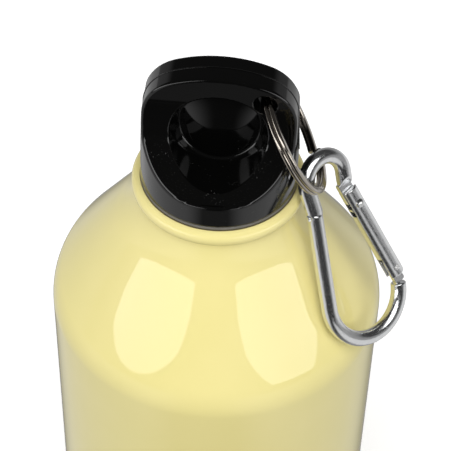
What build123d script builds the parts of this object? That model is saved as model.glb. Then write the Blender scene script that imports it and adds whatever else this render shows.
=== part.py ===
from build123d import *
from math import cos, radians, sin, tan
import os

# Kids water bottle: painted aluminium bottle, black screw cap with a flat finger fin, a split ring
# through the fin and a small carabiner that hangs from the ring and leans on the shoulder.
# Millimetres. The origin is the centre of the ring that the bottle stands on, +Z is up, the fin lies
# in the XZ plane and the bottle's front faces -Y.

# ---- driving dimensions ----------------------------------------------------------------------
BODY_R = 36.5                # straight body, 73 mm across
WALL = 0.8                   # drawn aluminium wall
SEAT_Z = 155.0               # underside of the cap's skirt, on the gasket
SHOULDER_R = 12.0            # round from the body into the conical shoulder
SHOULDER_STEEP = 55.5        # degrees, slope of the conical shoulder
NECK_R = 17.1                # outside of the short neck at the middle of the lip
NECK_LEAN = 16.0             # degrees, the neck narrows towards the lip
NECK_BORE_R = 14.9           # inside of the neck
CREASE_R = 27.5              # hollow round from the shoulder up into the neck
INNER_CREASE_R = 1.2
CONE_TOP_Z = SEAT_Z - 5.1    # the cone's line runs through this height and radius
CONE_TOP_R = 16.4
LIP_R = 1.75                 # rolled lip, radius of the roll
LIP_CENTRE_R = 16.65
LIP_Z = SEAT_Z - 2.6
BASE_RING_IN = 27.0          # the bottle stands between this radius and the corner round
BASE_RISE = 2.6              # the middle of the base is raised
BASE_SLOPE_RUN = 4.0         # width of the slope from the raised middle down to the ring
BASE_SLOPE_R = 3.0
BASE_RING_R = 1.5
BASE_CORNER_R = 4.5

THREAD_PITCH = 4.0
THREAD_ROOT = 1.8            # width of the ridge at its root
THREAD_TIP = 1.0
THREAD_HEIGHT = 0.8
COLLAR_BORE_R = 13.7         # threaded collar inside the neck
COLLAR_TOP_Z = SEAT_Z - 1.2
COLLAR_BOTTOM_Z = SEAT_Z - 13.0
THREAD_TURNS = 1.75
THREAD_SUNK = 0.3            # the ridge's root lies this deep in the wall
PLUG_THREAD_Z = SEAT_Z - 11.9          # start of the cap's ridge, half a pitch below the collar's
COLLAR_FOOT_R = 15.3         # swaged foot that holds the collar under the neck
COLLAR_EDGE = 0.4            # chamfer at the collar's mouth
SWAGE_TOP_Z = SEAT_Z - 5.0
SWAGE_HIGH_Z = SEAT_Z - 5.8
SWAGE_LOW_Z = SEAT_Z - 6.8
SWAGE_END_Z = SEAT_Z - 7.4

GASKET_IN_R = 12.9
GASKET_OUT_R = 16.5
GASKET_THICK = 0.8

CAP_R = 16.55                # skirt
PLUG_R = 12.6                # plug that carries the thread
PLUG_BORE_R = 11.0
PLUG_BOTTOM_Z = SEAT_Z - 13.2
PLUG_ROOF_Z = SEAT_Z + 2.6
FIN_HALF = 3.75              # half of the fin's thickness
FIN_TOP = 28.8               # above the seat
CROWN_R = 26.5               # nearly flat top of the fin
CROWN_HALF_ANGLE = 21.0
FIN_CORNER_R = 9.75
FIN_TAPER = 3.0              # degrees, each side
RIM_HEIGHT = 5.6             # skirt height at the front and the back
SCOOP_FOOT = (15.2, RIM_HEIGHT)        # hollow slope from the rim up to the fin's face
SCOOP_MIDDLE = (8.9, 10.6)
SCOOP_HEAD = (FIN_HALF, 17.0)
CUT_SIZE = 20.0              # larger than the cap's radius, for cutters
RECESS_A = 9.95              # thumb recess, half width and half height at its mouth
RECESS_B = 8.6
RECESS_Z = 15.2
RECESS_BACK_A = 8.4          # the same at its back wall
RECESS_BACK_B = 8.0
WEB_HALF = 1.0               # half of the web between the two recesses
CAP_EDGE_R = 0.6             # rounds on the cap's outer edges
HOLE_X = 9.1                 # hole for the split ring
HOLE_Z = 23.0
HOLE_R = 2.3

RING_R = 12.45               # split ring, middle of its band
RING_BAND = 1.5              # band width, along the radius
RING_COIL = 0.88             # thickness of one coil
RING_PITCH = 0.94
RING_TURNS = 2
RING_EDGE_R = 0.3            # round on the band's edges
RING_DROP = 61.7             # degrees below level, from the hole to the ring's far side
RING_LEAN = 7.9              # degrees, lean of the ring in its hole
RING_GAP_TURN = 0.577        # place of the wire ends, as a share of a turn from the hole

WIRE_R = 1.7                 # carabiner wire
PLANE_AZIMUTH = -46.0        # direction that the carabiner's flat side faces
PLANE_RISE = 31.0
SPINE_LEAN = 10.1            # the spine's lean from the steepest way down
SPINE_AT = (20.76, -7.89, SEAT_Z - 4.2)     # bend of the spine
HOOK_END = -12.3             # middle line of the hook, along the spine's direction
HOOK_SIDE = 8.7
HOOK_INNER_SIDE = -1.9
HOOK_R = 4.3                 # round of the hook next to its nose
HOOK_INNER_R = 5.28          # round of the hook next to the spine
NOSE_START = -5.3
KINK_AT = -1.7
KINK_R = 2.5
BEND_R = 9.3                 # wide round at the foot
BEND_AT = 20.05
PIVOT = (15.9, 17.4)
GATE_SLOPE = 22.8            # degrees between the spine and the closed gate
GATE_R = 2.0
GATE_TIP = 21.6              # from the pivot to the gate's tip
GATE_HEEL = 2.1              # from the pivot to the gate's lower end
TONGUE_HALF = 0.65           # half thickness of both flattened wire ends
SLOT_HALF = 0.85
TIP_SLOT_LONG = 6.4
HEEL_SLOT_TO = 3.2
LATCH_AT = 17.9
NOSE_SHAPE = [(6.0, -1.2), (4.6, 1.9), (-1.5, 2.0), (-1.5, -1.1), (3.0, -1.4)]  # from the latch pin
LATCH_R = 0.55
LATCH_HEAD_R = 1.0
LATCH_HEAD_SUNK = 0.15       # the dome's middle lies this far inside the gate's surface
LATCH_HEAD_FLAT = 0.55       # height of the dome as a share of its radius
LATCH_SEAT_R = 0.7           # seat of the latch pin in the nose
NOTCH_LOW = 0.75             # the notch's edges, from the latch pin
NOTCH_HIGH = 0.65
PIN_R = 0.6
RUN_GAP = 0.05
SPRING_BORE_R = 1.15
SPRING_BORE_TO = 11.0
CAM_AT = 1.5                 # flat end of the heel tongue, from the pivot
HEEL_SHAPE = [(CAM_AT, -1.2), (CAM_AT, 1.2), (-4.2, 1.4), (-4.2, -0.9)]  # tongue at the pivot
PLUNGER_R = 1.08
PLUNGER_START = CAM_AT + 0.35          # room for the tongue's corner as the gate opens
PLUNGER_END = 4.0
SPRING_R = 0.85
SPRING_WIRE_R = 0.15
SPRING_TURNS = 8
SPRING_END_GAP = 0.02
CROSS_CUT = 3.0              # half length of cutters across the wire


# ---- bottle ----------------------------------------------------------------------------------
def cone_offset(inward):
    """Radius shift of the shoulder cone's line when it moves inward, square to its surface."""
    return inward / sin(radians(SHOULDER_STEEP))


def turned(path_outer, path_inner):
    """Solid of revolution between an outer and an inner outline that both start on the axis."""
    with BuildPart() as made:
        with BuildSketch(Plane.XZ):
            with BuildLine():
                add(path_outer)
                add(path_inner)
                Line(path_outer @ 0, path_inner @ 0)
                Line(path_outer @ 1, path_inner @ 1)
            make_face()
        revolve(axis=Axis.Z)
    return made.part


def neck_foot():
    """Corner where the lines of the conical shoulder and of the leaning neck meet."""
    cone = 1 / tan(radians(SHOULDER_STEEP))
    neck = tan(radians(NECK_LEAN))
    z = (CONE_TOP_R + cone * CONE_TOP_Z - NECK_R - neck * LIP_Z) / (cone - neck)
    return NECK_R + neck * (LIP_Z - z), z


def bottle_shell():
    rise = tan(radians(SHOULDER_STEEP))
    cone_foot_z = CONE_TOP_Z - (BODY_R - CONE_TOP_R) * rise
    outer = FilletPolyline(
        (0, BASE_RISE), (BASE_RING_IN - BASE_SLOPE_RUN, BASE_RISE), (BASE_RING_IN, 0), (BODY_R, 0),
        (BODY_R, cone_foot_z), neck_foot(), (NECK_R, LIP_Z),
        radius=[BASE_SLOPE_R, BASE_RING_R, BASE_CORNER_R, SHOULDER_R, CREASE_R])
    inner_r = BODY_R - WALL
    shift = cone_offset(WALL)
    cone_in_foot_z = cone_foot_z + (WALL - shift) * rise
    neck_in_z = cone_in_foot_z + (inner_r - NECK_BORE_R) * rise
    inner = FilletPolyline(
        (0, BASE_RISE + WALL), (BASE_RING_IN - BASE_SLOPE_RUN, BASE_RISE + WALL), (BASE_RING_IN, WALL),
        (inner_r, WALL), (inner_r, cone_in_foot_z), (NECK_BORE_R, neck_in_z), (NECK_BORE_R, LIP_Z),
        radius=[BASE_SLOPE_R - WALL, BASE_RING_R, BASE_CORNER_R - WALL, SHOULDER_R - WALL,
                INNER_CREASE_R])
    shell = turned(outer, inner)
    lip = Pos(0, 0, LIP_Z) * Torus(LIP_CENTRE_R, LIP_R)
    return shell + lip


def thread_ridge(radius, start_z, outward):
    """Helical ridge of the thread, standing out of (or into) a cylinder of this radius."""
    side = 1 if outward else -1
    helix = Helix(pitch=THREAD_PITCH, height=THREAD_PITCH * THREAD_TURNS, radius=radius)
    sunk = -THREAD_SUNK * side
    crest = THREAD_HEIGHT * side
    with BuildSketch(Plane(origin=helix @ 0, x_dir=(1, 0, 0), z_dir=helix % 0)) as section:
        with BuildLine():
            Polyline((sunk, -THREAD_ROOT / 2), (crest, -THREAD_TIP / 2),
                     (crest, THREAD_TIP / 2), (sunk, THREAD_ROOT / 2), close=True)
        make_face()
    return Pos(0, 0, start_z) * sweep(section.sketch, path=helix, is_frenet=True)


def neck_collar():
    with BuildPart() as made:
        with BuildSketch(Plane.XZ):
            with BuildLine():
                Polyline(
                    (COLLAR_BORE_R + COLLAR_EDGE, COLLAR_TOP_Z), (NECK_BORE_R, COLLAR_TOP_Z),
                    (NECK_BORE_R, SWAGE_TOP_Z), (COLLAR_FOOT_R, SWAGE_HIGH_Z),
                    (COLLAR_FOOT_R, SWAGE_LOW_Z), (NECK_BORE_R, SWAGE_END_Z),
                    (NECK_BORE_R, COLLAR_BOTTOM_Z), (COLLAR_BORE_R, COLLAR_BOTTOM_Z),
                    (COLLAR_BORE_R, COLLAR_TOP_Z - COLLAR_EDGE), close=True)
            make_face()
        revolve(axis=Axis.Z)
    ridge = thread_ridge(COLLAR_BORE_R, PLUG_THREAD_Z + THREAD_PITCH / 2, outward=False)
    return made.part + ridge


# ---- cap -------------------------------------------------------------------------------------
def fin_outline():
    """Outline of cap and fin, seen from the front: tapered sides, round corners, crowned top."""
    crown_z = FIN_TOP - CROWN_R
    swing = radians(CROWN_HALF_ANGLE)
    reach = CROWN_R - FIN_CORNER_R
    corner = (reach * sin(swing), crown_z + reach * cos(swing))
    taper = radians(FIN_TAPER)
    side_top = (corner[0] + FIN_CORNER_R * cos(taper), corner[1] + FIN_CORNER_R * sin(taper))
    side_foot = (side_top[0] + side_top[1] * tan(taper), 0)
    corner_sweep = 90 - CROWN_HALF_ANGLE - FIN_TAPER
    with BuildSketch() as made:
        with BuildLine():
            CenterArc((0, crown_z), CROWN_R, 90 - CROWN_HALF_ANGLE, 2 * CROWN_HALF_ANGLE)
            for side in (1, -1):
                start = FIN_TAPER if side > 0 else 90 + CROWN_HALF_ANGLE
                CenterArc((side * corner[0], corner[1]), FIN_CORNER_R, start, corner_sweep)
                Line((side * side_top[0], side_top[1]), (side * side_foot[0], 0))
            Line((side_foot[0], 0), (-side_foot[0], 0))
        make_face()
    return made.sketch


def scoop_profile():
    """Cap seen from the side: rim, hollowed slope and the fin's upright face, front and back."""
    with BuildSketch() as made:
        with BuildLine():
            for side in (1, -1):
                foot, middle, head = [(side * y, z) for y, z in (SCOOP_FOOT, SCOOP_MIDDLE, SCOOP_HEAD)]
                Polyline((0, 0), (side * CUT_SIZE, 0), (side * CUT_SIZE, RIM_HEIGHT), foot)
                ThreePointArc(foot, middle, head)
                Line(head, (side * FIN_HALF, FIN_TOP + 1))
            Line((FIN_HALF, FIN_TOP + 1), (-FIN_HALF, FIN_TOP + 1))
        make_face()
    return made.sketch


def thumb_recess(side):
    """Cutter for one thumb recess: an upright oval whose walls draw in towards the web."""
    def oval(y, half_width, half_height):
        plane = Plane(origin=(0, y, RECESS_Z), x_dir=(1, 0, 0), z_dir=(0, side, 0))
        return plane * Ellipse(half_width, half_height)
    inner = loft([oval(side * WEB_HALF, RECESS_BACK_A, RECESS_BACK_B),
                  oval(side * FIN_HALF, RECESS_A, RECESS_B)])
    outer = extrude(oval(side * FIN_HALF, RECESS_A, RECESS_B), amount=CUT_SIZE)
    return inner + outer


def cap_body():
    front = Plane(origin=(0, 0, 0), x_dir=(1, 0, 0), z_dir=(0, -1, 0))
    outline = extrude(front * fin_outline(), amount=CUT_SIZE, both=True)
    slopes = extrude(Plane.YZ * scoop_profile(), amount=CUT_SIZE, both=True)
    skirt = Pos(0, 0, CUT_SIZE) * Cylinder(CAP_R, 2 * CUT_SIZE)
    top = outline & slopes & skirt
    top = fillet([edge for edge in top.edges() if edge.center().Z > RIM_HEIGHT / 4], CAP_EDGE_R)
    for side in (1, -1):
        top -= thumb_recess(side)
    top -= Pos(HOLE_X, 0, HOLE_Z) * Rot(90, 0, 0) * Cylinder(HOLE_R, CUT_SIZE)
    top = Pos(0, 0, SEAT_Z) * top
    plug_high = PLUG_ROOF_Z - PLUG_BOTTOM_Z
    plug = Pos(0, 0, PLUG_BOTTOM_Z + plug_high / 2) * Cylinder(PLUG_R, plug_high)
    bore = Pos(0, 0, PLUG_BOTTOM_Z + plug_high / 2) * Cylinder(PLUG_BORE_R, plug_high)
    ridge = thread_ridge(PLUG_R, PLUG_THREAD_Z, outward=True)
    return top + plug + ridge - bore


def cap_gasket():
    middle = SEAT_Z - GASKET_THICK / 2
    ring = Cylinder(GASKET_OUT_R, GASKET_THICK) - Cylinder(GASKET_IN_R, GASKET_THICK)
    return Pos(0, 0, middle) * ring


# ---- split ring ------------------------------------------------------------------------------
def ring_plane():
    """Plane of the split ring: x runs from the hole to the far side, y along its tangent there."""
    drop = radians(-RING_DROP)
    away = Vector(cos(drop), 0, sin(drop))
    square = away.cross(Vector(0, 1, 0))
    lean = radians(-RING_LEAN)
    along = Vector(0, 1, 0) * cos(lean) + square * sin(lean)
    centre = Vector(HOLE_X, 0, SEAT_Z + HOLE_Z) + away * RING_R
    return Plane(origin=centre, x_dir=away, z_dir=away.cross(along))


def split_ring():
    helix = Helix(pitch=RING_PITCH, height=RING_PITCH * RING_TURNS, radius=RING_R)
    with BuildSketch(Plane(origin=helix @ 0, x_dir=(1, 0, 0), z_dir=helix % 0)) as section:
        RectangleRounded(RING_BAND, RING_COIL, RING_EDGE_R)
    coil = sweep(section.sketch, path=helix, is_frenet=True)
    start = 180 + 360 * RING_GAP_TURN
    return ring_plane().location * Rot(0, 0, start) * Pos(0, 0, -RING_PITCH) * coil


# ---- carabiner -------------------------------------------------------------------------------
def carabiner_plane():
    """Plane of the carabiner: x runs down the spine, y from the spine to the gate."""
    azimuth = radians(PLANE_AZIMUTH)
    rise = radians(PLANE_RISE)
    normal = Vector(cos(rise) * cos(azimuth), cos(rise) * sin(azimuth), sin(rise))
    level = Vector(-sin(azimuth), cos(azimuth), 0)
    down = Vector(sin(rise) * cos(azimuth), sin(rise) * sin(azimuth), -cos(rise))
    lean = radians(SPINE_LEAN)
    spine = down * cos(lean) - level * sin(lean)
    return Plane(origin=SPINE_AT, x_dir=spine, z_dir=normal)


def gate_plane():
    """Plane of the closed gate: origin on the pivot, x along the gate to its tip, y inward."""
    base = carabiner_plane()
    slope = radians(GATE_SLOPE)
    to_tip = base.x_dir * -cos(slope) + base.y_dir * -sin(slope)
    pivot = base.from_local_coords(Vector(PIVOT[0], PIVOT[1], 0))
    return Plane(origin=pivot, x_dir=to_tip, z_dir=base.z_dir)


def rod_along(plane, radius, start, end):
    """Round rod on the plane's x axis between two distances from its origin."""
    rod = Pos((start + end) / 2, 0, 0) * Rot(0, 90, 0) * Cylinder(radius, end - start)
    return plane.location * rod


def plate(plane, points, half):
    """Flat plate in the plane, cut to the outline through these points."""
    with BuildSketch() as made:
        with BuildLine():
            Polyline(*points, close=True)
        make_face()
    return plane.location * extrude(made.sketch, amount=half, both=True)


def slot(plane, start, end):
    """Cutter for a slot right through the gate, between two distances from the pivot."""
    return plate(plane, [
        (start, -CROSS_CUT), (end, -CROSS_CUT), (end, CROSS_CUT), (start, CROSS_CUT)], SLOT_HALF)


def cross_pin(plane, along, radius, low, high):
    """Round pin square to the plane, from its low to its high end."""
    pin = Pos(along, 0, (low + high) / 2) * Cylinder(radius, high - low)
    return plane.location * pin


def carabiner_frame():
    place = carabiner_plane()
    gate = gate_plane()
    upper = FilletPolyline(
        (NOSE_START, HOOK_SIDE), (HOOK_END, HOOK_SIDE), (HOOK_END, HOOK_INNER_SIDE),
        (KINK_AT, 0), (BEND_AT / 2, 0), radius=[HOOK_R, HOOK_INNER_R, KINK_R])
    straight = Line((BEND_AT / 2, 0), (BEND_AT, 0))
    foot = CenterArc((BEND_AT, BEND_R), BEND_R, -90, 180)
    path = Wire(list(upper.edges()) + [straight.edge(), foot.edge()])
    section = Plane(origin=path @ 0, z_dir=path % 0) * Circle(WIRE_R)
    wire = place.location * sweep(section, path=path)
    nose = plate(gate, [(LATCH_AT + along, inward) for along, inward in NOSE_SHAPE], TONGUE_HALF)
    notch = plate(gate, [
        (LATCH_AT - NOTCH_LOW, -0.1), (LATCH_AT - NOTCH_LOW, CROSS_CUT),
        (LATCH_AT + NOTCH_HIGH, CROSS_CUT), (LATCH_AT + NOTCH_HIGH, -0.1)], CROSS_CUT)
    seat = cross_pin(gate, LATCH_AT - 0.05, LATCH_SEAT_R, -CROSS_CUT, CROSS_CUT)
    heel = plate(gate, HEEL_SHAPE, TONGUE_HALF)
    hole = cross_pin(gate, 0, PIN_R, -CROSS_CUT, CROSS_CUT)
    return wire + (nose - notch - seat) + heel - hole


def carabiner_gate():
    gate = gate_plane()
    rod = rod_along(gate, GATE_R, -GATE_HEEL, GATE_TIP)
    bore = rod_along(gate, SPRING_BORE_R, -GATE_HEEL - 1, SPRING_BORE_TO)
    heel_slot = slot(gate, -GATE_HEEL - 1, HEEL_SLOT_TO)
    tip_slot = slot(gate, GATE_TIP - TIP_SLOT_LONG, GATE_TIP + 1)
    pivot_hole = cross_pin(gate, 0, PIN_R + RUN_GAP, -CROSS_CUT, CROSS_CUT)
    latch_hole = cross_pin(gate, LATCH_AT, LATCH_R, -CROSS_CUT, CROSS_CUT)
    return rod - bore - heel_slot - tip_slot - pivot_hole - latch_hole


def gate_pivot_pin():
    return cross_pin(gate_plane(), 0, PIN_R, -GATE_R, GATE_R)


def gate_latch_pin():
    gate = gate_plane()
    pin = cross_pin(gate, LATCH_AT, LATCH_R, -GATE_R - 0.1, GATE_R)
    dome = scale(Sphere(LATCH_HEAD_R), (1, 1, LATCH_HEAD_FLAT))
    dome = Pos(LATCH_AT, 0, GATE_R - LATCH_HEAD_SUNK) * dome
    return pin + (gate.location * dome - rod_along(gate, GATE_R, 0, GATE_TIP))


def gate_plunger():
    return rod_along(gate_plane(), PLUNGER_R, PLUNGER_START, PLUNGER_END)


def gate_spring():
    gate = gate_plane()
    clear = SPRING_WIRE_R + SPRING_END_GAP
    length = SPRING_BORE_TO - PLUNGER_END - 2 * clear
    helix = Helix(pitch=length / SPRING_TURNS, height=length, radius=SPRING_R)
    section = Plane(origin=helix @ 0, z_dir=helix % 0) * Circle(SPRING_WIRE_R)
    coil = sweep(section, path=helix, is_frenet=True)
    return gate.location * (Pos(PLUNGER_END + clear, 0, 0) * Rot(0, 90, 0) * coil)


NODES = {
    "bottle_shell": bottle_shell,
    "neck_collar": neck_collar,
    "cap_body": cap_body,
    "cap_gasket": cap_gasket,
    "split_ring": split_ring,
    "carabiner_frame": carabiner_frame,
    "carabiner_gate": carabiner_gate,
    "gate_pivot_pin": gate_pivot_pin,
    "gate_latch_pin": gate_latch_pin,
    "gate_plunger": gate_plunger,
    "gate_spring": gate_spring,
}

os.makedirs("parts", exist_ok=True)
for name, make in NODES.items():
    solid = make()
    solid.label = name
    export_step(solid, f"parts/{name}.step")
    print(name, round(solid.volume, 2), "mm3")
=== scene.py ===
from math import atan2, ceil, cos, hypot, pi, radians, sin, tan

import bpy
import numpy as np
from mathutils import Matrix, Vector


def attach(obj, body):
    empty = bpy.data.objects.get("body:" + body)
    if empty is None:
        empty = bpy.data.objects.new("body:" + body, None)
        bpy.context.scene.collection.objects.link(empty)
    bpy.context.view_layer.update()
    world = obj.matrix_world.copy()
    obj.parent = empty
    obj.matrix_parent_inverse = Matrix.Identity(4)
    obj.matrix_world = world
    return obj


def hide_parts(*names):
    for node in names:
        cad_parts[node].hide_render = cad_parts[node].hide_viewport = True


# Looks of a kids water bottle: pastel yellow gloss paint, black screw cap with a finger fin, split
# ring and polished carabiner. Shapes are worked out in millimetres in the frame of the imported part
# and written to Blender in metres.

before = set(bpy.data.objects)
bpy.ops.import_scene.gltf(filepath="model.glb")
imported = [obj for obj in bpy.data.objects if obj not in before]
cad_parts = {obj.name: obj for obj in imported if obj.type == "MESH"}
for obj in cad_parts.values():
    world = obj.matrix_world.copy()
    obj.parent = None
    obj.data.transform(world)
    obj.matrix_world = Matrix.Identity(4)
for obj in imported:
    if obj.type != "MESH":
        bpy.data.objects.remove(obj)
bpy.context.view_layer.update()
MM = 0.001

# Fineness of the meshes that follow a distance field, in millimetres
CAP_STEP = 0.27
FRAME_STEP = 0.17
GATE_STEP = 0.13
FIELD_MARGIN = 0.5

# ---- sizes, in millimetres, as in the CAD part ------------------------------------------------
BODY_R = 36.5
WALL = 0.8
SEAT_Z = 155.0               # underside of the cap's skirt; heights on the cap are above it
SHOULDER_R = 12.0
SHOULDER_STEEP = radians(55.5)
NECK_R = 17.1
NECK_LEAN = radians(16)
NECK_BORE_R = 14.9
CONE_TOP_Z = SEAT_Z - 5.1
CONE_TOP_R = 16.4
CREASE_R = 27.5
INNER_CREASE_R = 1.2
LIP_R = 1.75
LIP_CENTRE_R = 16.65
LIP_Z = SEAT_Z - 2.6
LIP_FOOT_TURN = radians(15.6)          # from straight down, where the neck meets the lip
LIP_ROLL = (-60, 180)                  # degrees, from the underside over the top to the bore
BASE_RING_IN = 27.0
BASE_RISE = 2.6
BASE_SLOPE_RUN = 4.0
BASE_SLOPE_R = 3.0
BASE_RING_R = 1.5
BASE_CORNER_R = 4.5

GASKET_IN_R = 12.9
GASKET_OUT_R = 16.5
GASKET_THICK = 0.8
GASKET_EDGE_R = 0.22

CAP_R = 16.55
PLUG_R = 12.6
PLUG_BORE_R = 11.0
PLUG_BOTTOM = -13.2
PLUG_ROOF = 2.6
PLUG_INTO_TOP = 0.2                    # the plug runs this far into the top
PLUG_ROUNDS = (0.3, 0.5)               # at its lower edges, inside and outside
THREAD_PITCH = 4.0
THREAD_HEIGHT = 0.8
THREAD_SUNK = 0.3
THREAD_ROOT = 1.8
THREAD_SHOULDER = 1.2                  # width of the ridge below its rounded tip
THREAD_TIP = 0.8
THREAD_TURNS = 1.75
THREAD_START = -11.9
FIN_HALF = 3.75
FIN_TOP = 28.8
CROWN_R = 26.5
CROWN_HALF_ANGLE = radians(21)
FIN_CORNER_R = 9.75
FIN_TAPER = radians(3)
RIM_HEIGHT = 5.6
SCOOP_FOOT = (15.2, RIM_HEIGHT)
SCOOP_MIDDLE = (8.9, 10.6)
SCOOP_HEAD = (FIN_HALF, 17.0)
SCOOP_OVERRUN = 2.5                    # the hollow ends this far above the foot of the fin's face
SCOOP_BLEND_R = 3.0
RIM_BLEND_R = 0.4
RECESS_Z = 15.2
RECESS_MOUTH = (9.95, 8.6)
RECESS_BACK = (8.4, 8.0)
WEB_HALF = 1.0
PILLOW = 2.2                           # height of the recess's domed back wall at its foot
CAP_EDGE_R = 0.6
SKIRT_EDGE_R = 0.3
RECESS_EDGE_R = 0.35
RECESS_BACK_R = 0.5
BORE_EDGE_R = 0.1
HOLE_X = 9.1
HOLE_Z = 23.0
HOLE_R = 2.3
SEAM_R = 0.14                          # mould seam on the fin's edge
SEAM_FOOT = 8.0

RING_R = 12.45
RING_BAND = 1.5
RING_COIL = 0.88
RING_PITCH = 0.94
RING_TURNS = 2
RING_EDGE_R = 0.3
RING_DROP = radians(61.7)
RING_LEAN = radians(7.9)
RING_GAP_TURN = 0.577

WIRE_R = 1.7
PLANE_AZIMUTH = radians(-46)
PLANE_RISE = radians(31)
SPINE_LEAN = radians(10.1)
SPINE_AT = (20.76, -7.89, SEAT_Z - 4.2)
HOOK_END = -12.3
HOOK_SIDE = 8.7
HOOK_INNER_SIDE = -1.9
HOOK_R = 4.3
HOOK_INNER_R = 5.28
NOSE_START = -5.3
KINK_AT = -1.7
KINK_R = 2.5
BEND_R = 9.3
BEND_AT = 20.05
PIVOT = (15.9, 17.4)
GATE_SLOPE = radians(22.8)
GATE_R = 2.0
GATE_TIP = 21.6
GATE_HEEL = 2.1
TONGUE_HALF = 0.65
SLOT_HALF = 0.85
TIP_SLOT_AT = GATE_TIP - 6.4
HEEL_SLOT_TO = 3.2
LATCH_AT = 17.9
LATCH_R = 0.55
PIN_R = 0.6
SPRING_BORE_R = 1.15
SPRING_BORE_TO = 11.0
CAM_AT = 1.5
RUN_GAP = 0.05

# Details of the carabiner: u runs down the spine, v from the spine to the gate, w to the viewer.
SWELL_FROM = -9.5                      # the wire is pressed wider from here to its bend
SWELL_EASE = 3.5
SWELL_TO = KINK_AT + 1.05
SWELL_TO_EASE = 0.3
SWELL_WIDER = 0.22
SWELL_THINNER = 0.2
SPINE_SIDE = 4.0                       # the spine lies at smaller v
NOSE_SIDE = 4.5                        # the nose lies at larger v and smaller u
NOSE_BEFORE = 5.0
FOOT_SIDE = 10.0                       # the lower wire end lies at larger v
FAR_INSIDE = 1e3
NOSE_TAPER = 0.75                      # thinning of the wire towards the nose plate
NOSE_TAPER_TO = -0.2
NOSE_LONG = (-1.5, 5.6)                # nose plate along the gate, from the latch pin
NOSE_WIDE = (-1.3, 1.9)
NOTCH = (-0.75, 0.65)                  # notch that holds the latch pin
NOTCH_DEPTH = -0.1
LATCH_SEAT_R = 0.7
LATCH_SEAT_SHIFT = 0.05
HEEL_FROM = -4.2                       # plate at the pivot
HEEL_WIDE = (-1.2, 1.3)
CHIP_R = 0.62                          # small dent in the outer side of the spine's bend
CHIP_AT = (KINK_AT + 1.15, -1.95, 0.6)
CHIP_SQUASH = 0.9
CHIP_SLANT = 0.3

# Rounds on the carabiner's edges
NOSE_END_R = 0.2
NOSE_FLANK_R = 0.15
WIRE_END_R = 0.3
NOSE_CORNER_R = 0.4
NOTCH_EDGE_R = 0.15
LATCH_SEAT_EDGE_R = 0.1
HEEL_CORNER_R = 0.5
PLATE_EDGE_R = 0.1
PLATE_BLEND_R = 0.25
CHIP_EDGE_R = 0.08
GATE_END_R = 0.3
SLOT_EDGE_R = 0.12
HOLE_EDGE_R = 0.05


# ---- meshes ----------------------------------------------------------------------------------
def make_piece(name, points, faces, normals=None):
    """Smooth-shaded mesh object from points in millimetres."""
    mesh = bpy.data.meshes.new(name)
    mesh.from_pydata((np.asarray(points) * MM).tolist(), [], [list(map(int, f)) for f in faces])
    mesh.polygons.foreach_set("use_smooth", [True] * len(mesh.polygons))
    mesh.validate()
    mesh.update()
    if normals is not None:
        mesh.normals_split_custom_set_from_vertices(np.asarray(normals).tolist())
    piece = bpy.data.objects.new(name, mesh)
    bpy.context.scene.collection.objects.link(piece)
    return piece


def rounded_path(points, radii):
    """Straight runs and arcs through the points, with a round at each inner point."""
    pts = [np.array(p, float) for p in points]
    runs = []
    start = pts[0]
    for before, corner, after, radius in zip(pts, pts[1:], pts[2:], radii):
        a = (before - corner) / np.linalg.norm(before - corner)
        b = (after - corner) / np.linalg.norm(after - corner)
        half = 0.5 * np.arccos(np.clip(a @ b, -1, 1))
        reach = radius / tan(half)
        middle = (a + b) / np.linalg.norm(a + b)
        centre = corner + middle * radius / sin(half)
        first, last = corner + a * reach, corner + b * reach
        from_angle = atan2(*(first - centre)[::-1])
        turn = atan2(*(last - centre)[::-1]) - from_angle
        turn = (turn + pi) % (2 * pi) - pi
        runs.append(("line", start, first))
        runs.append(("arc", centre, radius, from_angle, turn))
        start = last
    runs.append(("line", start, pts[-1]))
    return runs


def sampled(runs, arc_step=radians(5), line_step=8.0):
    """Points along the runs, close together on the arcs."""
    points = [runs[0][1]]
    for run in runs:
        if run[0] == "line":
            pieces = max(1, ceil(np.linalg.norm(run[2] - run[1]) / line_step))
            points += [run[1] + (run[2] - run[1]) * i / pieces for i in range(1, pieces + 1)]
        else:
            _, centre, radius, angle, turn = run
            pieces = max(2, ceil(abs(turn) / arc_step))
            for i in range(1, pieces + 1):
                a = angle + turn * i / pieces
                points.append(centre + radius * np.array((cos(a), sin(a))))
    return np.array(points)


def lathe(name, outline, around=240, closed=False):
    """Turned mesh about Z from (radius, height) points; points on the axis close it with a fan."""
    rows = []
    points = []
    angles = 2 * pi * np.arange(around) / around
    for radius, height in outline:
        if radius < 1e-6:
            rows.append([len(points)] * around)
            points.append((0, 0, height))
        else:
            rows.append(list(range(len(points), len(points) + around)))
            points += [(radius * cos(a), radius * sin(a), height) for a in angles]
    if closed:
        rows.append(rows[0])
    faces = []
    for low, high in zip(rows, rows[1:]):
        for i in range(around):
            j = (i + 1) % around
            corners = [low[i], low[j], high[j], high[i]]
            face = [c for k, c in enumerate(corners) if c not in corners[:k]]
            if len(face) > 2:
                faces.append(face)
    return make_piece(name, points, faces)


def swept(name, centres, sides, ups, section):
    """Solid swept along the centres; section points are (side, up) in each centre's own frame.

    They run counter-clockwise with side to the right and up on top; the sweep runs away from there."""
    count, round_count = len(centres), len(section)
    points = [c + s * x + u * y for c, s, u in zip(centres, sides, ups) for x, y in section]
    faces = []
    for i in range(count - 1):
        for j in range(round_count):
            k = (j + 1) % round_count
            a, b = i * round_count, (i + 1) * round_count
            faces.append((a + k, a + j, b + j, b + k))
    faces.append(tuple(range(round_count)))
    last = (count - 1) * round_count
    faces.append(tuple(range(last, last + round_count))[::-1])
    return make_piece(name, points, faces)


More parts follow.
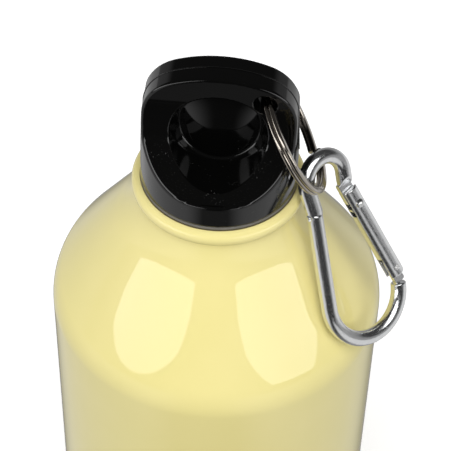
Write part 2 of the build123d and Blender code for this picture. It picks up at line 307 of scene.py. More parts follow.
# ---- solids by their distance field -----------------------------------------------------------
def meet(a, b, radius):
    """What two solids share, with a round of this radius on the edge between them."""
    inner = np.minimum(-radius, np.maximum(a, b))
    return inner + np.hypot(np.maximum(a + radius, 0), np.maximum(b + radius, 0))


def join(a, b, radius):
    """Two solids together, with a fillet of this radius in the corner between them."""
    return -meet(-a, -b, radius)


def cut(a, b, radius):
    """The first solid less the second, with a round of this radius on the new edge."""
    return meet(a, -b, radius)


def slope_of(field, points, reach=0.01):
    """Gradient of the field at each point."""
    parts = []
    for axis in np.eye(3) * reach:
        parts.append((field(points + axis) - field(points - axis)) / (2 * reach))
    return np.stack(parts, -1)


def skin(field, low, high, step):
    """Points, quads and normals of the field's zero surface; the field is negative inside."""
    low = np.array(low, float)
    counts = [ceil((h - l) / step) + 1 for l, h in zip(low, high)]
    grid = np.stack(np.meshgrid(*[np.arange(n) for n in counts], indexing="ij"), -1)
    value = np.empty(counts)
    for i in range(counts[0]):
        value[i] = field(low + grid[i].reshape(-1, 3) * step).reshape(counts[1:])
    inside = value < 0
    shifts = [(i, j, k) for i in (0, 1) for j in (0, 1) for k in (0, 1)]
    cells = tuple(n - 1 for n in counts)

    def corner(array, shift):
        return array[tuple(slice(s, s + n) for s, n in zip(shift, cells))]

    filled = sum(corner(inside, s).astype(int) for s in shifts)
    mixed = (filled > 0) & (filled < 8)
    where = np.argwhere(mixed)
    number = np.full(cells, -1)
    number[mixed] = np.arange(len(where))
    total = np.zeros((len(where), 3))
    crossings = np.zeros(len(where))
    for shift in shifts:
        for axis in range(3):
            if shift[axis]:
                continue
            end = list(shift)
            end[axis] = 1
            a, b = corner(value, shift)[mixed], corner(value, end)[mixed]
            crossed = (a < 0) != (b < 0)
            share = np.where(crossed, a / np.where(crossed, a - b, 1), 0)
            spot = np.array(shift) + share[:, None] * np.eye(3)[axis]
            total += spot * crossed[:, None]
            crossings += crossed
    points = low + (where + total / crossings[:, None]) * step
    for _ in range(3):
        slope = slope_of(field, points)
        move = (field(points) / (slope ** 2).sum(-1).clip(0.2))[:, None] * slope
        points -= move.clip(-step / 2, step / 2)
    normals = slope_of(field, points)
    normals /= np.linalg.norm(normals, axis=1)[:, None].clip(1e-9)
    faces = []
    for axis in range(3):
        b, c = (axis + 1) % 3, (axis + 2) % 3
        here = [slice(1, n - 1) for n in counts]
        here[axis] = slice(0, counts[axis] - 1)
        there = list(here)
        there[axis] = slice(1, counts[axis])
        first, second = inside[tuple(here)], inside[tuple(there)]
        start = np.argwhere(first != second) + [0 if i == axis else 1 for i in range(3)]
        leaving = first[first != second]
        around = []
        for db, dc in ((-1, -1), (0, -1), (0, 0), (-1, 0)):
            cell = start.copy()
            cell[:, b] += db
            cell[:, c] += dc
            around.append(number[cell[:, 0], cell[:, 1], cell[:, 2]])
        quads = np.stack(around, -1)
        faces.append(np.where(leaving[:, None], quads, quads[:, ::-1]))
    return points, np.concatenate(faces), normals


def skin_piece(name, field, low, high, step, place=None):
    """Piece with the field's surface; place is the 4 x 4 matrix from its own frame, in mm."""
    points, faces, normals = skin(field, low, high, step)
    if place is not None:
        points = points @ place[:3, :3].T + place[:3, 3]
        normals = normals @ place[:3, :3].T
    return make_piece(name, points, faces, normals)


# ---- bottle ----------------------------------------------------------------------------------
def bottle_outline():
    """(radius, height) points of the shell: base, body, shoulder, neck, rolled lip and inside."""
    rise = tan(SHOULDER_STEEP)
    cone_foot = CONE_TOP_Z - (BODY_R - CONE_TOP_R) * rise
    slope, lean = 1 / rise, tan(NECK_LEAN)
    neck_z = (CONE_TOP_R + slope * CONE_TOP_Z - NECK_R - lean * LIP_Z) / (slope - lean)
    neck_foot = (NECK_R + lean * (LIP_Z - neck_z), neck_z)
    under_lip = LIP_Z - LIP_R * cos(LIP_FOOT_TURN)
    slope_in = BASE_RING_IN - BASE_SLOPE_RUN
    outer = rounded_path(
        [(0, BASE_RISE), (slope_in, BASE_RISE), (BASE_RING_IN, 0), (BODY_R, 0),
         (BODY_R, cone_foot), neck_foot,
         (NECK_R + lean * (LIP_Z - under_lip), under_lip)],
        [BASE_SLOPE_R, BASE_RING_R, BASE_CORNER_R, SHOULDER_R, CREASE_R])
    inner_r = BODY_R - WALL
    shift = WALL / sin(SHOULDER_STEEP)
    inner_foot = cone_foot + (WALL - shift) * rise
    neck_low = inner_foot + (inner_r - NECK_BORE_R) * rise
    inner = rounded_path(
        [(0, BASE_RISE + WALL), (slope_in, BASE_RISE + WALL), (BASE_RING_IN, WALL),
         (inner_r, WALL), (inner_r, inner_foot), (NECK_BORE_R, neck_low), (NECK_BORE_R, LIP_Z)],
        [BASE_SLOPE_R - WALL, BASE_RING_R, BASE_CORNER_R - WALL, SHOULDER_R - WALL, INNER_CREASE_R])
    roll = []
    for degrees in range(LIP_ROLL[0], LIP_ROLL[1] + 1, 6):
        a = radians(degrees)
        roll.append((LIP_CENTRE_R + LIP_R * cos(a), LIP_Z + LIP_R * sin(a)))
    return np.vstack([sampled(outer, radians(3)), roll, sampled(inner, radians(6))[::-1]])


def is_inside(face):
    """Whether this face of the shell belongs to its inside."""
    spot = face.center / MM
    from_axis = hypot(spot.x, spot.y)
    facing_in = face.normal.x * spot.x + face.normal.y * spot.y < 0
    in_bore = from_axis < LIP_CENTRE_R - 1 and spot.z > CONE_TOP_Z
    in_body = facing_in and from_axis < BODY_R - WALL / 2 and spot.z > BASE_RISE + 1
    on_floor = face.normal.z > 0.5 and spot.z < BASE_RISE + 2 * WALL
    under_shoulder = facing_in and face.normal.z < 0 and spot.z > SEAT_Z / 2
    return in_bore or in_body or on_floor or under_shoulder


def build_bottle():
    piece = lathe("bottle_painted_shell", bottle_outline(), around=288)
    piece.data.materials.append(yellow_paint())
    piece.data.materials.append(inside_lacquer())
    for face in piece.data.polygons:
        if is_inside(face):
            face.material_index = 1
    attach(piece, "bottle")
    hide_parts("bottle_shell")


# ---- gasket ----------------------------------------------------------------------------------
def build_gasket():
    low, high = SEAT_Z - GASKET_THICK, SEAT_Z
    middle = (GASKET_IN_R + GASKET_OUT_R) / 2
    runs = rounded_path(
        [(middle, low), (GASKET_OUT_R, low), (GASKET_OUT_R, high), (GASKET_IN_R, high),
         (GASKET_IN_R, low), (middle, low)], [GASKET_EDGE_R] * 4)
    piece = lathe("gasket_ring", sampled(runs, radians(15))[:-1], around=180, closed=True)
    piece.data.materials.append(gasket_rubber())
    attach(piece, "seal")
    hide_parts("cap_gasket")


# ---- cap -------------------------------------------------------------------------------------
def crown_corner():
    """Centre of the round between the crown and the fin's side."""
    reach = CROWN_R - FIN_CORNER_R
    return reach * sin(CROWN_HALF_ANGLE), FIN_TOP - CROWN_R + reach * cos(CROWN_HALF_ANGLE)


def fin_field(x, z):
    """Distance to the fin's outline, seen from the front."""
    corner_x, corner_z = crown_corner()
    crown_z = FIN_TOP - CROWN_R
    side = np.abs(x)
    crown = np.hypot(side, z - crown_z) - CROWN_R
    corner = np.hypot(side - corner_x, z - corner_z) - FIN_CORNER_R
    flank = ((side - corner_x) * cos(FIN_TAPER) + (z - corner_z) * sin(FIN_TAPER)) - FIN_CORNER_R
    from_crown = np.arctan2(side, z - crown_z)
    from_corner = np.arctan2(z - corner_z, side - corner_x)
    field = np.where(from_corner > FIN_TAPER, corner, flank)
    return np.where(from_crown < CROWN_HALF_ANGLE, np.where(z > corner_z, crown, flank), field)


def circle_through(a, b, c):
    """Centre and radius of the circle through three points."""
    a, b, c = (complex(*p) for p in (a, b, c))
    w = (c - a) / (b - a)
    centre = (a - b) * (w - abs(w) ** 2) / (2j * w.imag) - a
    return -centre.real, -centre.imag, abs(centre + a)


def scoop_field(y, z):
    """Distance to rim, hollowed slope and upright face, seen from the side."""
    centre_y, centre_z, radius = circle_through(SCOOP_FOOT, SCOOP_MIDDLE, SCOOP_HEAD)
    side = np.abs(y)
    hollow = radius - np.hypot(side - centre_y, z - centre_z)
    slope = np.maximum(hollow, np.maximum(side - SCOOP_FOOT[0], z - SCOOP_HEAD[1] - SCOOP_OVERRUN))
    return join(join(slope, z - RIM_HEIGHT, RIM_BLEND_R), side - FIN_HALF, SCOOP_BLEND_R)


def recess_field(x, y, z):
    """Distance to the thumb recess of one side: drawn-in oval with a pillow for its back wall."""
    depth = np.abs(y)
    share = np.clip((depth - WEB_HALF) / (FIN_HALF - WEB_HALF), 0, 1)
    half_wide = RECESS_BACK[0] + (RECESS_MOUTH[0] - RECESS_BACK[0]) * share
    half_high = RECESS_BACK[1] + (RECESS_MOUTH[1] - RECESS_BACK[1]) * share
    u, v = x / half_wide, (z - RECESS_Z) / half_high
    away = np.sqrt(u ** 2 + v ** 2).clip(1e-6)
    pull = np.hypot(u / half_wide, v / half_high).clip(1e-6)
    oval = away * (away - 1) / pull
    up = ((v + 1) / 2).clip(0, 1)
    pillow = WEB_HALF + PILLOW * (1 - up ** 2 / 2 - up ** 4 / 2) * (1 - (u ** 2).clip(0, 1))
    return meet(oval, pillow - depth, RECESS_BACK_R)


def cap_field(p):
    """The cap's top in its own frame: skirt, fin, recesses, hole and the plug's bore."""
    x, y, z = p[:, 0], p[:, 1], p[:, 2]
    from_axis = np.hypot(x, y)
    top = meet(meet(fin_field(x, z), scoop_field(y, z), CAP_EDGE_R), from_axis - CAP_R, CAP_EDGE_R)
    top = meet(top, -z, SKIRT_EDGE_R)
    top = cut(top, recess_field(x, y, z), RECESS_EDGE_R)
    top = cut(top, np.hypot(x - HOLE_X, z - HOLE_Z) - HOLE_R, RECESS_EDGE_R)
    bore = np.maximum(from_axis - PLUG_BORE_R, z - PLUG_ROOF)
    return cut(top, bore, BORE_EDGE_R)


def thread_frames():
    """Middle line of the plug's thread with its two cross directions; both ends run out flat."""
    steps_a_turn, run_out = 90, 8
    steps = int(THREAD_TURNS * steps_a_turn)
    number = np.arange(steps + 1)
    angles = 2 * pi * THREAD_TURNS * number / steps
    ease = np.minimum(1, np.minimum(number, steps - number) / run_out)
    out = np.stack([np.cos(angles), np.sin(angles), 0 * angles], -1)
    rise = SEAT_Z + THREAD_START + THREAD_PITCH * angles / (2 * pi)
    centres = out * PLUG_R + rise[:, None] * np.array((0, 0, 1))
    return centres, out * ease[:, None], np.tile((0.0, 0.0, 1.0), (steps + 1, 1))


def thread_section():
    shoulder, root = THREAD_SHOULDER / 2, THREAD_ROOT / 2
    tip, high = THREAD_TIP / 2, THREAD_HEIGHT * 0.8
    return [(high, -shoulder), (THREAD_HEIGHT, -tip), (THREAD_HEIGHT, tip), (high, shoulder),
            (-THREAD_SUNK, root), (-THREAD_SUNK, -root)]


def build_cap():
    place = np.eye(4)
    place[2, 3] = SEAT_Z
    reach = CAP_R + 1.0
    top = skin_piece("cap_top", cap_field, (-reach, -reach, -1.03), (reach, reach, FIN_TOP + 1),
                     CAP_STEP, place)
    plug_runs = rounded_path(
        [(PLUG_BORE_R, PLUG_INTO_TOP), (PLUG_BORE_R, PLUG_BOTTOM), (PLUG_R, PLUG_BOTTOM),
         (PLUG_R, PLUG_INTO_TOP)], PLUG_ROUNDS)
    plug = lathe("cap_plug", SEAT_Z * np.array((0, 1)) + sampled(plug_runs), around=180, closed=True)
    thread = swept("cap_thread", *thread_frames(), thread_section())
    seam = swept("cap_mould_seam", *seam_frames(), round_section(SEAM_R, 8))
    for piece in (top, plug, thread, seam):
        piece.data.materials.append(black_plastic())
        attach(piece, "cap")
        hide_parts("cap_body")


def cap_seam_runs():
    """Mould seam round the fin's edge at mid thickness, from one flank's foot to the other's."""
    corner_x, corner_z = crown_corner()
    crown_z = FIN_TOP - CROWN_R
    turn = pi / 2 - CROWN_HALF_ANGLE - FIN_TAPER
    corner = np.array((corner_x, corner_z))
    flank = corner + FIN_CORNER_R * np.array((cos(FIN_TAPER), sin(FIN_TAPER)))
    foot = flank + (flank[1] - SEAM_FOOT) * np.array((tan(FIN_TAPER), -1))
    mirror = np.array((-1, 1))
    return [
        ("line", foot, flank),
        ("arc", corner, FIN_CORNER_R, FIN_TAPER, turn),
        ("arc", np.array((0, crown_z)), CROWN_R, pi / 2 - CROWN_HALF_ANGLE, 2 * CROWN_HALF_ANGLE),
        ("arc", corner * mirror, FIN_CORNER_R, pi / 2 + CROWN_HALF_ANGLE, turn),
        ("line", flank * mirror, foot * mirror)]


def seam_frames():
    """Middle line of the mould seam with its two cross directions."""
    flat = sampled(cap_seam_runs(), radians(3), 1.5)
    centres = np.stack([flat[:, 0], 0 * flat[:, 0], flat[:, 1] + SEAT_Z], -1)
    ahead = np.gradient(centres, axis=0)
    ahead /= np.linalg.norm(ahead, axis=1)[:, None]
    sides = np.tile((0.0, 1.0, 0.0), (len(centres), 1))
    return centres, sides, np.cross(sides, ahead)


def round_section(radius, count):
    angles = 2 * pi * np.arange(count) / count
    return [(radius * cos(a), radius * sin(a)) for a in angles]


# ---- split ring ------------------------------------------------------------------------------
def ring_axes():
    """Centre and axes of the split ring: x to its far side, z square to it."""
    away = np.array((cos(RING_DROP), 0, -sin(RING_DROP)))
    square = np.cross(away, (0, 1, 0))
    along = np.array((0, 1, 0)) * cos(-RING_LEAN) + square * sin(-RING_LEAN)
    centre = np.array((HOLE_X, 0, SEAT_Z + HOLE_Z)) + away * RING_R
    normal = np.cross(away, along)
    return centre, away, np.cross(normal, away), normal


def build_ring():
    centre, x_axis, y_axis, z_axis = ring_axes()
    steps = 480
    start = pi + 2 * pi * RING_GAP_TURN
    share = np.arange(steps + 1) / steps
    angles = start + 2 * pi * RING_TURNS * share
    outs = np.cos(angles)[:, None] * x_axis + np.sin(angles)[:, None] * y_axis
    rise = RING_PITCH * RING_TURNS * (share - 0.5)
    centres = centre + outs * RING_R + rise[:, None] * z_axis
    section = sampled(rounded_path(
        [(0, -RING_COIL / 2), (RING_BAND / 2, -RING_COIL / 2), (RING_BAND / 2, RING_COIL / 2),
         (-RING_BAND / 2, RING_COIL / 2), (-RING_BAND / 2, -RING_COIL / 2), (0, -RING_COIL / 2)],
        [RING_EDGE_R] * 4), radians(15))[:-1]
    piece = swept("split_ring_coil", centres, outs, np.tile(z_axis, (steps + 1, 1)), section)
    piece.data.materials.append(ring_steel())
    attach(piece, "ring")
    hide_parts("split_ring")


# ---- carabiner -------------------------------------------------------------------------------
def carabiner_place():
    """4 x 4 matrix of the carabiner's plane: x down the spine, y to the gate, z to the viewer."""
    normal = np.array((cos(PLANE_RISE) * cos(PLANE_AZIMUTH),
                       cos(PLANE_RISE) * sin(PLANE_AZIMUTH), sin(PLANE_RISE)))
    level = np.array((-sin(PLANE_AZIMUTH), cos(PLANE_AZIMUTH), 0))
    down = np.array((sin(PLANE_RISE) * cos(PLANE_AZIMUTH),
                     sin(PLANE_RISE) * sin(PLANE_AZIMUTH), -cos(PLANE_RISE)))
    spine = down * cos(SPINE_LEAN) - level * sin(SPINE_LEAN)
    place = np.eye(4)
    place[:3, 0], place[:3, 1], place[:3, 2] = spine, np.cross(normal, spine), normal
    place[:3, 3] = SPINE_AT
    return place


def to_gate(u, v):
    """Gate coordinates of points in the carabiner's plane: along the gate, and inward from it."""
    du, dv = u - PIVOT[0], v - PIVOT[1]
    return (-du * cos(GATE_SLOPE) - dv * sin(GATE_SLOPE), du * sin(GATE_SLOPE) - dv * cos(GATE_SLOPE))


def gate_place():
    """4 x 4 matrix of the closed gate: x along it from the pivot, y into the carabiner's opening."""
    base = carabiner_place()
    turn = np.eye(4)
    turn[:2, 0] = (-cos(GATE_SLOPE), -sin(GATE_SLOPE))
    turn[:2, 1] = (sin(GATE_SLOPE), -cos(GATE_SLOPE))
    turn[:2, 3] = PIVOT
    return base @ turn


def wire_runs():
    """Middle line of the wire in the carabiner's plane, from the nose to the lower end."""
    upper = rounded_path(
        [(NOSE_START, HOOK_SIDE), (HOOK_END, HOOK_SIDE), (HOOK_END, HOOK_INNER_SIDE),
         (KINK_AT, 0), (BEND_AT, 0)], [HOOK_R, HOOK_INNER_R, KINK_R])
    foot = ("arc", np.array((BEND_AT, BEND_R)), BEND_R, -pi / 2, pi)
    return upper + [foot]


def run_distance(run, u, v):
    """Distance in the plane from points to one straight run or arc."""
    if run[0] == "line":
        start, end = run[1], run[2]
        du, dv = end - start
        share = ((u - start[0]) * du + (v - start[1]) * dv) / (du ** 2 + dv ** 2)
        share = np.clip(share, 0, 1)
        return np.hypot(u - start[0] - share * du, v - start[1] - share * dv)
    _, centre, radius, angle, turn = run
    low = min(angle, angle + turn)
    swing = (np.arctan2(v - centre[1], u - centre[0]) - low) % (2 * pi)
    on_arc = np.abs(np.hypot(u - centre[0], v - centre[1]) - radius)
    ends = [centre + radius * np.array((cos(a), sin(a))) for a in (angle, angle + turn)]
    to_end = np.minimum(*[np.hypot(u - e[0], v - e[1]) for e in ends])
    return np.where(swing <= abs(turn), on_arc, to_end)


def box_field(a, low, high):
    """Signed distance along one axis to the stretch between low and high."""
    return np.maximum(low - a, a - high)


def wire_field(u, v, w):
    """Distance to the bent wire, pressed wider above its bend and thinned towards the nose."""
    flat = np.min([run_distance(run, u, v) for run in wire_runs()], 0)
    swell = np.clip((u - SWELL_FROM) / SWELL_EASE, 0, 1) * (v < SPINE_SIDE)
    swell *= np.clip((SWELL_TO - u) / SWELL_TO_EASE, 0, 1)
    wide, thin = WIRE_R + SWELL_WIDER * swell, WIRE_R - SWELL_THINNER * swell
    wire = (np.hypot(flat / wide, w / thin) - 1) * WIRE_R
    past_nose = np.maximum(np.maximum(NOSE_START - u, u - NOSE_BEFORE), NOSE_SIDE - v)
    wire = cut(wire, past_nose, NOSE_END_R)
    flank = np.abs(w) - (TONGUE_HALF + NOSE_TAPER * (NOSE_START - u).clip(NOSE_TAPER_TO))
    at_nose = (v > NOSE_SIDE) & (u < NOSE_BEFORE)
    wire = np.where(at_nose, meet(wire, flank, NOSE_FLANK_R), wire)
    lower_end = np.where(v > FOOT_SIDE, BEND_AT - u, -FAR_INSIDE)
    return meet(wire, lower_end, WIRE_END_R)


def plate_field(along, inward):
    """Distance to the outline of both flat wire ends: the notched nose and the heel at the pivot."""
    from_latch = along - LATCH_AT
    nose = meet(box_field(from_latch, *NOSE_LONG), box_field(inward, *NOSE_WIDE), NOSE_CORNER_R)
    notch = np.maximum(box_field(from_latch, *NOTCH), NOTCH_DEPTH - inward)
    seat = np.hypot(from_latch + LATCH_SEAT_SHIFT, inward) - LATCH_SEAT_R
    nose = cut(cut(nose, notch, NOTCH_EDGE_R), seat, LATCH_SEAT_EDGE_R)
    heel = meet(box_field(along, HEEL_FROM, CAM_AT), box_field(inward, *HEEL_WIDE), HEEL_CORNER_R)
    heel = cut(heel, np.hypot(along, inward) - PIN_R, HOLE_EDGE_R)
    return np.minimum(nose, heel)


def frame_field(p):
    """The carabiner's frame in its own plane: wire, plates and the dent at the spine's bend."""
    u, v, w = p[:, 0], p[:, 1], p[:, 2]
    plates = meet(plate_field(*to_gate(u, v)), np.abs(w) - TONGUE_HALF, PLATE_EDGE_R)
    body = join(wire_field(u, v, w), plates, PLATE_BLEND_R)
    chip_u, chip_v, chip_w = CHIP_AT
    chip = np.hypot((u - chip_u) * CHIP_SQUASH, v - chip_v + CHIP_SLANT * (w - chip_w)) - CHIP_R
    return cut(body, np.maximum(chip, -w), CHIP_EDGE_R)


def gate_field(p):
    """The gate in its own frame: a round rod, slotted at both ends and bored for its spring."""
    along, inward, w = p[:, 0], p[:, 1], p[:, 2]
    from_line = np.hypot(inward, w)
    rod = meet(from_line - GATE_R, box_field(along, -GATE_HEEL, GATE_TIP), GATE_END_R)
    tip_slot = np.maximum(np.abs(w) - SLOT_HALF, TIP_SLOT_AT - along)
    heel_slot = np.maximum(np.abs(w) - SLOT_HALF, along - HEEL_SLOT_TO)
    rod = cut(cut(rod, tip_slot, SLOT_EDGE_R), heel_slot, SLOT_EDGE_R)
    rod = cut(rod, np.maximum(from_line - SPRING_BORE_R, along - SPRING_BORE_TO), BORE_EDGE_R)
    rod = cut(rod, np.hypot(along, inward) - PIN_R - RUN_GAP, HOLE_EDGE_R)
    return cut(rod, np.hypot(along - LATCH_AT, inward) - LATCH_R, HOLE_EDGE_R)


def build_carabiner():
    margin = WIRE_R + FIELD_MARGIN
    body = skin_piece("carabiner_wire_frame", frame_field,
                      (HOOK_END - margin, HOOK_INNER_SIDE - margin, -margin),
                      (BEND_AT + BEND_R + margin, 2 * BEND_R + margin, margin),
                      FRAME_STEP, carabiner_place())
    side = GATE_R + FIELD_MARGIN
    gate = skin_piece("carabiner_gate_rod", gate_field, (-GATE_HEEL - FIELD_MARGIN, -side, -side),
                      (GATE_TIP + FIELD_MARGIN, side, side), GATE_STEP, gate_place())
    for piece, rides_on, node in ((body, "carabiner", "carabiner_frame"),
                                  (gate, "gate", "carabiner_gate")):
        piece.data.materials.append(polished_aluminium())
        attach(piece, rides_on)
        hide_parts(node)
    return [body, gate]


# ---- materials -------------------------------------------------------------------------------
RANGE_SOCKETS = ("From Min", "From Max", "To Min", "To Max")


class Material:
    """A material with one Principled shader, and short calls for the nodes that feed it."""

    def __init__(self, name, **values):
        self.made = bpy.data.materials.new(name)
        self.made.use_nodes = True
        self.tree = self.made.node_tree
        self.shader = next(n for n in self.tree.nodes if n.type == "BSDF_PRINCIPLED")
        for socket, value in values.items():
            self.shader.inputs[socket.replace("_", " ")].default_value = value
        self.place = self.tree.nodes.new("ShaderNodeTexCoord").outputs["Object"]

    def node(self, kind, **settings):
        made = self.tree.nodes.new("ShaderNode" + kind)
        for name, value in settings.items():
            setattr(made, name, value)
        return made

    def link(self, output, socket):
        self.tree.links.new(output, socket)

    def feed(self, name, output):
        self.link(output, self.shader.inputs[name])

    def noise(self, size_mm, detail=2.0, rough=0.5):
        """Noise whose features are about this many millimetres across."""
        made = self.node("TexNoise")
        self.link(self.place, made.inputs["Vector"])
        made.inputs["Scale"].default_value = 1 / (size_mm * MM)
        made.inputs["Detail"].default_value = detail
        made.inputs["Roughness"].default_value = rough
        return made.outputs["Fac"]

    def ranged(self, value, low, high, to_low, to_high):
        made = self.node("MapRange")
        self.link(value, made.inputs["Value"])
        for name, number in zip(RANGE_SOCKETS, (low, high, to_low, to_high)):
            made.inputs[name].default_value = number
        return made.outputs["Result"]

    def mixed(self, share, first, second):
        made = self.node("Mix", data_type="RGBA")
        self.link(share, made.inputs["Factor"])
        for name, colour in (("A", first), ("B", second)):
            made.inputs[name].default_value = (*colour, 1)
        return made.outputs["Result"]

    def math(self, operation, first, second):
        made = self.node("Math", operation=operation)
        for socket, value in zip(made.inputs, (first, second)):
            if isinstance(value, (int, float)):
                socket.default_value = value
            else:
                self.link(value, socket)
        return made.outputs["Value"]

    def bump(self, height, distance_mm, strength=1.0):
        made = self.node("Bump")
        self.link(height, made.inputs["Height"])
        made.inputs["Distance"].default_value = distance_mm * MM
        made.inputs["Strength"].default_value = strength
        self.feed("Normal", made.outputs["Normal"])


def once(make):
    """Makes the material the first time and gives the same one afterwards."""
    made = []

    def get():
        if not made:
            made.append(make())
        return made[0]
    return get


@once
def yellow_paint():
    """Pastel yellow gloss enamel: faint flow marks in its tone, slightly uneven roughness and a fine
    ripple.
    """
    m = Material("yellow_gloss_paint", Specular_IOR_Level=0, Coat_Weight=1.0, Coat_Roughness=0.025,
                 Coat_IOR=1.5)
    drift = m.ranged(m.noise(26, 3), 0.35, 0.65, 0, 1)
    m.feed("Base Color", m.mixed(drift, (0.86, 0.765, 0.315), (0.885, 0.785, 0.34)))
    m.feed("Roughness", m.ranged(m.noise(3.5, 4), 0.3, 0.7, 0.28, 0.36))
    m.bump(m.noise(2.6, 1.5), 0.006, 0.35)
    return m.made


@once
def inside_lacquer():
    """Golden food lacquer on the bare metal inside."""
    m = Material("inside_gold_lacquer", Metallic=0.85, Roughness=0.4)
    m.feed("Base Color", m.mixed(m.noise(9, 3), (0.62, 0.5, 0.26), (0.7, 0.58, 0.33)))
    return m.made


@once
def gasket_rubber():
    m = Material("grey_silicone", Roughness=0.55, Specular_IOR_Level=0.35)
    m.feed("Base Color", m.mixed(m.noise(1.2, 3), (0.13, 0.125, 0.115), (0.2, 0.19, 0.175)))
    m.bump(m.noise(0.3), 0.02)
    return m.made


@once
def black_plastic():
    """Glossy black moulding with dust that settles low in the recesses."""
    m = Material("black_gloss_plastic", Specular_IOR_Level=0.5)
    cloud = m.ranged(m.noise(5, 4, 0.6), 0.5, 0.75, 0, 1)
    specks = m.ranged(m.noise(0.35, 2, 0.7), 0.66, 0.72, 0, 1)
    height = m.node("SeparateXYZ")
    m.link(m.place, height.inputs["Vector"])
    low = m.ranged(height.outputs["Z"], (SEAT_Z + 16) * MM, (SEAT_Z + 9) * MM, 0, 1)
    dust = m.math("MULTIPLY", m.math("MULTIPLY", cloud, specks), low)
    m.feed("Base Color", m.mixed(dust, (0.0016, 0.0016, 0.0015), (0.22, 0.22, 0.21)))
    m.feed("Roughness", m.ranged(m.noise(4, 4), 0.35, 0.7, 0.06, 0.13))
    m.bump(m.noise(6, 2), 0.01, 0.3)
    return m.made


@once
def ring_steel():
    """Nickel-plated spring steel with a faintly mottled tone and fine bumps."""
    m = Material("nickel_spring_steel", Metallic=1.0)
    m.feed("Base Color", m.mixed(m.noise(1.5, 3), (0.36, 0.325, 0.28), (0.47, 0.43, 0.38)))
    m.feed("Roughness", m.ranged(m.noise(0.6, 3), 0.3, 0.7, 0.1, 0.2))
    m.bump(m.noise(0.5), 0.004, 0.4)
    return m.made


@once
def polished_aluminium():
    """Tumbled bright aluminium: fine grain and shallow pits."""
    m = Material("polished_aluminium", Metallic=1.0)
    m.feed("Base Color", m.mixed(m.noise(0.8, 3), (0.76, 0.77, 0.78), (0.86, 0.865, 0.87)))
    m.feed("Roughness", m.ranged(m.noise(0.5, 4), 0.3, 0.7, 0.1, 0.2))
    pits = m.ranged(m.noise(0.16, 2, 0.6), 0.56, 0.7, 0, 1)
    m.bump(pits, 0.014, 0.5)
    return m.made


@once
def collar_aluminium():
    m = Material("collar_aluminium", Metallic=1.0)
    m.feed("Base Color", m.mixed(m.noise(2, 3), (0.6, 0.6, 0.6), (0.72, 0.72, 0.71)))
    m.feed("Roughness", m.ranged(m.noise(0.8, 3), 0.3, 0.7, 0.25, 0.4))
    return m.made


@once
def pin_steel():
    m = Material("pin_steel", Metallic=1.0)
    m.feed("Base Color", m.mixed(m.noise(0.5, 3), (0.6, 0.6, 0.6), (0.74, 0.74, 0.73)))
    m.feed("Roughness", m.ranged(m.noise(0.3, 3), 0.3, 0.7, 0.15, 0.3))
    return m.made


def dress_frame_nodes():
    """Materials of the CAD nodes that stay in view."""
    looks = {"neck_collar": collar_aluminium, "gate_pivot_pin": pin_steel, "gate_latch_pin": pin_steel,
             "gate_plunger": pin_steel, "gate_spring": pin_steel}
    for name, look in looks.items():
        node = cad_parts[name]
        node.data.materials.clear()
        node.data.materials.append(look())


# ---- stage, light and camera -----------------------------------------------------------------
LIGHTS_AIM_Z = SEAT_Z - 22             # all in millimetres
FLOOR_R = 2200
FLOOR_INNER_R = 300
FLOOR_SUNK = 0.05


def emitter(name, azimuth, elevation, distance, size, radiance, roll=0, mirrored=True):
    """Oval softbox that looks at the shoulder from this direction, in metres; azimuth 0 is the front.

    One that is not mirrored lights the surfaces without showing in the glossy ones."""
    a, e = radians(azimuth), radians(elevation)
    target = Vector((0, 0, LIGHTS_AIM_Z * MM))
    back = Vector((sin(a) * cos(e), -cos(a) * cos(e), sin(e)))
    light = bpy.data.lights.new(name, "AREA")
    light.shape = "ELLIPSE"
    light.size, light.size_y = size
    light.energy = radiance * size[0] * size[1] * pi * pi / 4
    lamp = bpy.data.objects.new(name, light)
    bpy.context.scene.collection.objects.link(lamp)
    turn = back.to_track_quat("Z", "Y").to_matrix() @ Matrix.Rotation(radians(roll), 3, "Z")
    lamp.matrix_world = Matrix.Translation(target + back * distance) @ turn.to_4x4()
    lamp.visible_glossy = mirrored
    return lamp


def light_link(lamp, pieces, state):
    """Keeps a lamp's light off a few pieces, or on them alone, the way a flag does in a studio."""
    receivers = bpy.data.collections.new(lamp.name + "_receivers")
    lamp.light_linking.receiver_collection = receivers
    for number, piece in enumerate(pieces):
        receivers.objects.link(piece)
        receivers.collection_objects[number].light_linking.link_state = state


def build_stage():
    """Round pale floor that the bottle stands on."""
    around = 96
    angles = [2 * pi * i / around for i in range(around)]
    points = [(0, 0, 0)]
    faces = []
    for radius in (FLOOR_INNER_R, FLOOR_R):
        points += [(radius * cos(a), radius * sin(a), 0) for a in angles]
    for i in range(around):
        j = (i + 1) % around
        faces.append((0, 1 + i, 1 + j))
        faces.append((1 + i, 1 + around + i, 1 + around + j, 1 + j))
    floor = make_piece("stage_floor", points, faces)
    m = Material("pale_floor", Roughness=0.6, Specular_IOR_Level=0.1, Emission_Strength=0.5,
                 Emission_Color=(1, 1, 1, 1))
    m.feed("Base Color", m.mixed(m.noise(60, 2), (0.86, 0.86, 0.86), (0.88, 0.88, 0.88)))
    floor.data.materials.append(m.made)
    floor.location.z = -FLOOR_SUNK * MM
    floor.visible_diffuse = False
    floor.visible_glossy = False


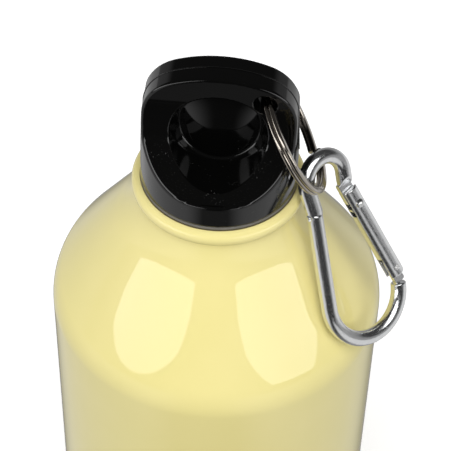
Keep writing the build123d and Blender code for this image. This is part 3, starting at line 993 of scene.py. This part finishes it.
def build_world():
    """Studio surroundings: pale low down at the sides and behind, dark in front and overhead."""
    world = bpy.data.worlds.new("studio")
    bpy.context.scene.world = world
    world.use_nodes = True
    tree = world.node_tree
    background = tree.nodes["Background"]
    background.inputs["Color"].default_value = (1, 1, 1, 1)
    place = tree.nodes.new("ShaderNodeTexCoord")
    split = tree.nodes.new("ShaderNodeSeparateXYZ")
    tree.links.new(place.outputs["Generated"], split.inputs["Vector"])

    def ramp(value, start, end, first, last):
        made = tree.nodes.new("ShaderNodeMapRange")
        made.interpolation_type = "SMOOTHSTEP"
        tree.links.new(value, made.inputs["Value"])
        for socket, number in zip(RANGE_SOCKETS, (start, end, first, last)):
            made.inputs[socket].default_value = number
        return made.outputs["Result"]

    def combined(operation, *values):
        made = tree.nodes.new("ShaderNodeMath")
        made.operation = operation
        for value, socket in zip(values, made.inputs):
            tree.links.new(value, socket)
        return made.outputs["Value"]

    # Strength by direction: up (height), away from the front (depth) and to either side (aside).
    height, depth = split.outputs["Z"], split.outputs["Y"]
    aside = combined("ABSOLUTE", split.outputs["X"])
    horizon = combined("MULTIPLY", ramp(height, 0.5, 0.25, 0, 1), ramp(depth, -0.6, -0.3, 0.04, 0.3))
    near = ramp(height, -0.5, -0.68, 0, 0.16)
    table = combined("MAXIMUM", near, ramp(aside, 0.1, 0.5, 0.03, 0.72))
    low = combined("MULTIPLY", ramp(height, 0.03, -0.06, 0, 1), table)
    total = combined("MAXIMUM", combined("MAXIMUM", horizon, low), ramp(height, 0, 1, 0.04, 0.05))
    tree.links.new(total, background.inputs["Strength"])


def build_camera():
    """Camera above the front, at this distance from the middle of the cap's seat."""
    azimuth, elevation = radians(4.6), radians(46)
    distance = 375.556
    pan, tilt, roll = radians(-0.2373), radians(-1.7829), radians(1.362)
    target = np.array((0, 0, SEAT_Z))
    back = np.array((sin(azimuth) * cos(elevation), -cos(azimuth) * cos(elevation), sin(elevation)))
    right = np.array((cos(azimuth), sin(azimuth), 0))
    view = Matrix(np.stack([right, np.cross(back, right), back], -1).tolist())
    aim = Matrix.Rotation(pan, 3, "Y") @ Matrix.Rotation(tilt, 3, "X") @ Matrix.Rotation(roll, 3, "Z")
    data = bpy.data.cameras.new("camera")
    data.sensor_width = 36
    data.lens = 143.57
    data.clip_start, data.clip_end = 0.01, 20
    camera = bpy.data.objects.new("camera", data)
    bpy.context.scene.collection.objects.link(camera)
    spot = Vector(((target + back * distance) * MM).tolist())
    camera.matrix_world = Matrix.Translation(spot) @ (view @ aim).to_4x4()
    bpy.context.scene.camera = camera


build_bottle()
build_gasket()
build_cap()
build_ring()
carabiner = build_carabiner()
dress_frame_nodes()
build_stage()
build_world()
build_camera()
emitter("window_left", azimuth=-48.5, elevation=18, distance=2.0, size=(2.8, 0.66), radiance=3.1,
        roll=12)
window_right = emitter("window_right", azimuth=53.5, elevation=18, distance=2.0, size=(2.6, 0.66),
                       radiance=2.9, roll=-12)
emitter("fill_above", azimuth=0, elevation=66, distance=1.5, size=(1.45, 1.45), radiance=3.9,
        mirrored=False)
metal_light = emitter("metal_light", azimuth=26, elevation=60, distance=1.0, size=(1.1, 0.8),
                      radiance=2.2)
light_link(window_right, carabiner, "EXCLUDE")
light_link(metal_light, carabiner, "INCLUDE")
bpy.context.scene.view_settings.view_transform = "Standard"
